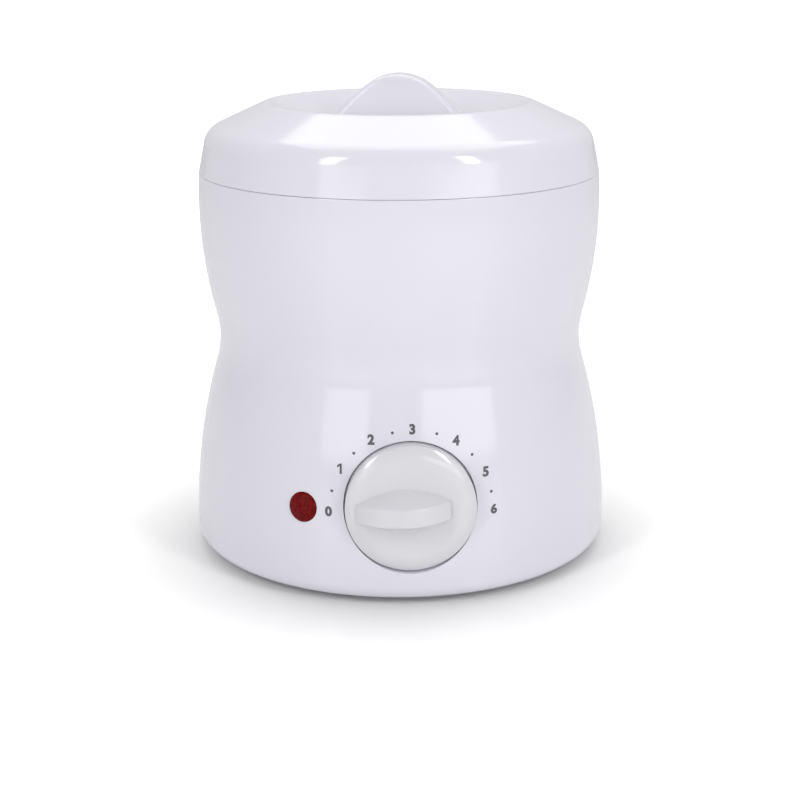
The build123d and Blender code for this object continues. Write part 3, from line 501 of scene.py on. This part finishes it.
# dial scale: figures 0 to 6 round the knob, with a dot between each pair
knobLow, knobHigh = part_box("knob")
dial = {
    "centreX": 0.4 * mm, "drop": 1.55 * mm, "radius": 27.4 * mm, "dotRadius": 27.0 * mm,
    "angles": (180.8, 149.1, 118.7, 89.3, 57.6, 26.0, -1.5),
    "dots": (165.9, 134.1, 103.2, 72.0, 42.1, 11.1),
    "figureHeight": 3.4 * mm, "dotSize": 0.48 * mm, "ink": 0.03 * mm, "sink": 0.05 * mm,
    "bold": 0.05, "thick": 0.05, "curveSteps": 6, "dotCorners": 20, "weld": 0.0001,
    "one": ((0.02, 0), (0.23, 0), (0.23, 1), (0.05, 1), (-0.22, 0.80), (-0.22, 0.60), (0.02, 0.74)),
}
dialCentreZ = (knobLow.z + knobHigh.z) / 2 - dial["drop"]


def skinPoint(x, z):
    # the outside of the housing straight in front of a place on the dial
    return nodes["housing"].ray_cast(Vector((x, -1, z)), Vector((0, 1, 0)))[1:3]


def wrapOnSkin(mesh, x, z, scale):
    # turns a flat shape into a thin layer of ink that follows the skin
    for vertex in mesh.verts:
        spot, normal = skinPoint(x + vertex.co.x * scale, z + vertex.co.y * scale)
        lift = dial["ink"] if vertex.co.z > 0 else -dial["sink"]
        vertex.co = spot + normal * lift


def flatFigure(text):
    curve = bpy.data.curves.new("figure", "FONT")
    curve.body = text
    curve.align_x = "CENTER"
    curve.align_y = "CENTER"
    curve.offset = dial["bold"]
    curve.extrude = dial["thick"]
    curve.resolution_u = dial["curveSteps"]
    holder = bpy.data.objects.new("figure", curve)
    bpy.context.scene.collection.objects.link(holder)
    bpy.context.view_layer.update()
    flat = bpy.data.meshes.new_from_object(holder.evaluated_get(bpy.context.evaluated_depsgraph_get()))
    bpy.data.objects.remove(holder)
    shape = bmesh.new()
    shape.from_mesh(flat)
    bmesh.ops.remove_doubles(shape, verts=shape.verts, dist=dial["weld"])
    lows = [min(v.co[axis] for v in shape.verts) for axis in (0, 1)]
    highs = [max(v.co[axis] for v in shape.verts) for axis in (0, 1)]
    for vertex in shape.verts:
        vertex.co.x -= (lows[0] + highs[0]) / 2
        vertex.co.y -= (lows[1] + highs[1]) / 2
    return shape, highs[1] - lows[1]


def flatOne():
    # the built-in figure 1 is a bare bar, so this one is drawn with its flag
    shape = bmesh.new()
    middle = sum(x for x, y in dial["one"]) / len(dial["one"])
    face = shape.faces.new([shape.verts.new((x - middle, y - 0.5, 0)) for x, y in dial["one"]])
    thicken(shape, [face])
    return shape, 1.0


def thicken(shape, faces):
    grown = bmesh.ops.extrude_face_region(shape, geom=faces)
    for item in grown["geom"]:
        if isinstance(item, bmesh.types.BMVert):
            item.co.z += 2 * dial["thick"]


def flatDot():
    shape = bmesh.new()
    bmesh.ops.create_circle(shape, cap_ends=True, segments=dial["dotCorners"], radius=1)
    thicken(shape, shape.faces[:])
    return shape


def dialSpot(radius, degrees):
    angle = math.radians(degrees)
    return dial["centreX"] + radius * math.cos(angle), dialCentreZ + radius * math.sin(angle)


def printedMarks():
    whole = bmesh.new()
    for figure, degrees in enumerate(dial["angles"]):
        shape, height = flatOne() if figure == 1 else flatFigure(str(figure))
        wrapOnSkin(shape, *dialSpot(dial["radius"], degrees), dial["figureHeight"] / height)
        addTo(whole, shape)
    for degrees in dial["dots"]:
        shape = flatDot()
        wrapOnSkin(shape, *dialSpot(dial["dotRadius"], degrees), dial["dotSize"])
        addTo(whole, shape)
    return finished(whole, "dial_marks")


def addTo(whole, shape):
    part = bpy.data.meshes.new("part")
    shape.to_mesh(part)
    shape.free()
    whole.from_mesh(part)
    bpy.data.meshes.remove(part)


def finished(shape, name):
    bmesh.ops.recalc_face_normals(shape, faces=shape.faces)
    mesh = bpy.data.meshes.new(name)
    shape.to_mesh(mesh)
    shape.free()
    return mesh


makePiece("dial_marks", printedMarks(), "housing_body", printInk(inkLook))
print("dial figures and dots printed")


# pilot lens: shallow dome with small pressed prisms and a plain rim
lens = {
    "rings": 26, "around": 72, "rim": 0.8 * mm, "dome": 1.1 * mm, "depth": 2.5 * mm,
    "edge": 0.25 * mm, "step": 0.1 * mm, "prism": 1.25 * mm, "prismDepth": 0.16 * mm,
    "startOut": 0.3, "facingOut": 0.7,
}


def lensFrame():
    # centre, outward direction and radius of the fitted lens
    fitted = nodes["pilot_lens"]
    spots = [vertex.co.copy() for vertex in fitted.data.vertices]
    middle = sum(spots, Vector()) / len(spots)
    level = Vector((middle.x, middle.y, 0))
    normal = fitted.ray_cast(middle + level * lens["startOut"], -level.normalized())[2]
    front = [face for face in fitted.data.polygons if face.normal.dot(normal) > lens["facingOut"]]
    outward = sum((face.normal * face.area for face in front), Vector()).normalized()
    radius = max((s - middle - outward * (s - middle).dot(outward)).length for s in spots)
    top = max((s - middle).dot(outward) for s in spots)
    return middle + outward * (top - lens["dome"]), outward, radius


def prismHeight(u, v):
    across = abs((u / lens["prism"]) % 1 - 0.5)
    along = abs((v / lens["prism"]) % 1 - 0.5)
    return lens["prismDepth"] * (1 - 2 * max(across, along))


def pilotLens():
    seat, outward, radius = lensFrame()
    turn = outward.to_track_quat("Z", "Y").to_matrix()
    inner = radius - lens["rim"]
    crown = (radius * radius + lens["dome"] ** 2) / (2 * lens["dome"])
    around = [2 * math.pi * step / lens["around"] for step in range(lens["around"])]
    shape = bmesh.new()

    def loopAt(r, heightAt):
        spots = [(r * math.cos(angle), r * math.sin(angle)) for angle in around]
        return [shape.verts.new(seat + turn @ Vector((u, v, heightAt(u, v)))) for u, v in spots]

    def domeHeight(r):
        return math.sqrt(crown * crown - r * r) - crown + lens["dome"]

    loops = []
    for ring in range(1, lens["rings"] + 1):
        r = ring / lens["rings"] * inner
        loops.append(loopAt(r, lambda u, v: domeHeight(r) - prismHeight(u, v)))
    for r in (inner + lens["step"], radius - lens["edge"] * 2):
        loops.append(loopAt(r, lambda u, v: domeHeight(r)))
    for height in (-lens["edge"], -lens["depth"]):
        loops.append(loopAt(radius, lambda u, v: height))
    for near, far in zip(loops, loops[1:]):
        for step in range(lens["around"]):
            after = (step + 1) % lens["around"]
            shape.faces.new((near[step], near[after], far[after], far[step]))
    centre = shape.verts.new(seat + turn @ Vector((0, 0, lens["dome"])))
    for step in range(lens["around"]):
        shape.faces.new((centre, loops[0][(step + 1) % lens["around"]], loops[0][step]))
    shape.faces.new(loops[-1])
    return finished(shape, "faceted_lens")


makePiece("faceted_lens", pilotLens(), "housing_body", finishes["red_lens"], ["pilot_lens"])
print("pilot lens pressed")


# floor and lights
# the floor's glow and the white behind the object are seen directly only, so they light nothing
studio = {
    "floorSize": 8.0, "floorColour": (0.93, 0.93, 0.925), "floorRough": 0.22, "floorShade": 0.985,
    "glow": (0.62, 0.62, 0.62), "glowFrom": 0.072, "glowTo": 0.17,
    "level": (0.665, 0.665, 0.67), "overhead": (0.24, 0.24, 0.245), "seen": (1.02, 1.02, 1.02),
    "darkSide": (0, -0.5, 0.87), "darkFrom": 0.4, "darkTo": 0.85,
}
lampAim = (0, 0, 0.08)
lamps = [
    {"name": "left_box", "around": -31, "up": 9, "distance": 1.2, "size": (0.55, 0.32), "watts": 1.1},
    {"name": "right_box", "around": 34, "up": 9, "distance": 1.2, "size": (0.92, 0.32), "watts": 2.1},
    {"name": "left_strip", "around": -41, "up": 33, "distance": 1.2, "size": (0.18, 0.62), "watts": 3.2},
    {"name": "right_strip", "around": 43, "up": 33, "distance": 1.2, "size": (0.18, 0.62), "watts": 3.2},
    {"name": "top_box", "around": 170, "up": 70, "distance": 1.1, "size": (1.2, 0.8), "watts": 5.8},
]


def addFloor(setup):
    shape = bmesh.new()
    half = setup["floorSize"] / 2
    corners = ((-half, -half), (half, -half), (half, half), (-half, half))
    shape.faces.new([shape.verts.new((x, y, 0)) for x, y in corners])
    floor = bpy.data.objects.new("floor", finished(shape, "floor"))
    bpy.context.scene.collection.objects.link(floor)
    finish = Finish("pale_floor")
    cloud = finish.noise(0.4, 2)
    away = finish.node("ShaderNodeVectorMath", {"operation": "LENGTH"}, {0: finish.place()}, out=1)
    shade = tuple(one * setup["floorShade"] for one in setup["floorColour"])
    seen = finish.node("ShaderNodeLightPath") * finish.steps(away, setup["glowFrom"], setup["glowTo"])
    floor.data.materials.append(finish.set({
        "Base Color": finish.blend(cloud, setup["floorColour"], shade),
        "Roughness": cloud * 0.04 + setup["floorRough"],
        "Emission Color": finish.blend(seen, (0.0, 0.0, 0.0), setup["glow"]),
        "Emission Strength": 1.0,
    }))


def addLamp(setup):
    data = bpy.data.lights.new(setup["name"], "AREA")
    data.shape = "RECTANGLE"
    data.size, data.size_y = setup["size"]
    data.energy = setup["watts"]
    lamp = bpy.data.objects.new(setup["name"], data)
    around = math.radians(setup["around"] + cameraSetup["aroundDeg"])
    up = math.radians(setup["up"])
    out = Vector((math.sin(around) * math.cos(up), -math.cos(around) * math.cos(up), math.sin(up)))
    place = Matrix.Translation(Vector(lampAim) + out * setup["distance"])
    lamp.matrix_world = place @ out.to_track_quat("Z", "Y").to_matrix().to_4x4()
    bpy.context.scene.collection.objects.link(lamp)


def addSurroundings(setup):
    # the room that lights the object is darker than the white behind it, and darkest above the front
    world = bpy.data.worlds.new("surroundings")
    bpy.context.scene.world = world
    world.use_nodes = True
    tree = world.node_tree
    spot = tree.nodes.new("ShaderNodeTexCoord")
    facing = tree.nodes.new("ShaderNodeVectorMath")
    facing.operation = "DOT_PRODUCT"
    tree.links.new(spot.outputs["Generated"], facing.inputs[0])
    facing.inputs[1].default_value = setup["darkSide"]
    rise = tree.nodes.new("ShaderNodeMapRange")
    tree.links.new(facing.outputs["Value"], rise.inputs["Value"])
    rise.inputs["From Min"].default_value = setup["darkFrom"]
    rise.inputs["From Max"].default_value = setup["darkTo"]
    tint = tree.nodes.new("ShaderNodeMix")
    tint.data_type = "RGBA"
    tree.links.new(rise.outputs[0], tint.inputs[0])
    tint.inputs[6].default_value = (*setup["level"], 1)
    tint.inputs[7].default_value = (*setup["overhead"], 1)
    room = tree.nodes["Background"]
    tree.links.new(tint.outputs[2], room.inputs["Color"])
    white = tree.nodes.new("ShaderNodeBackground")
    white.inputs["Color"].default_value = (*setup["seen"], 1)
    path = tree.nodes.new("ShaderNodeLightPath")
    choose = tree.nodes.new("ShaderNodeMixShader")
    tree.links.new(path.outputs["Is Camera Ray"], choose.inputs[0])
    tree.links.new(room.outputs[0], choose.inputs[1])
    tree.links.new(white.outputs[0], choose.inputs[2])
    tree.links.new(choose.outputs[0], tree.nodes["World Output"].inputs["Surface"])


addFloor(studio)
for setup in lamps:
    addLamp(setup)
addSurroundings(studio)
bpy.context.scene.view_settings.view_transform = "Standard"
print("floor and lights set")
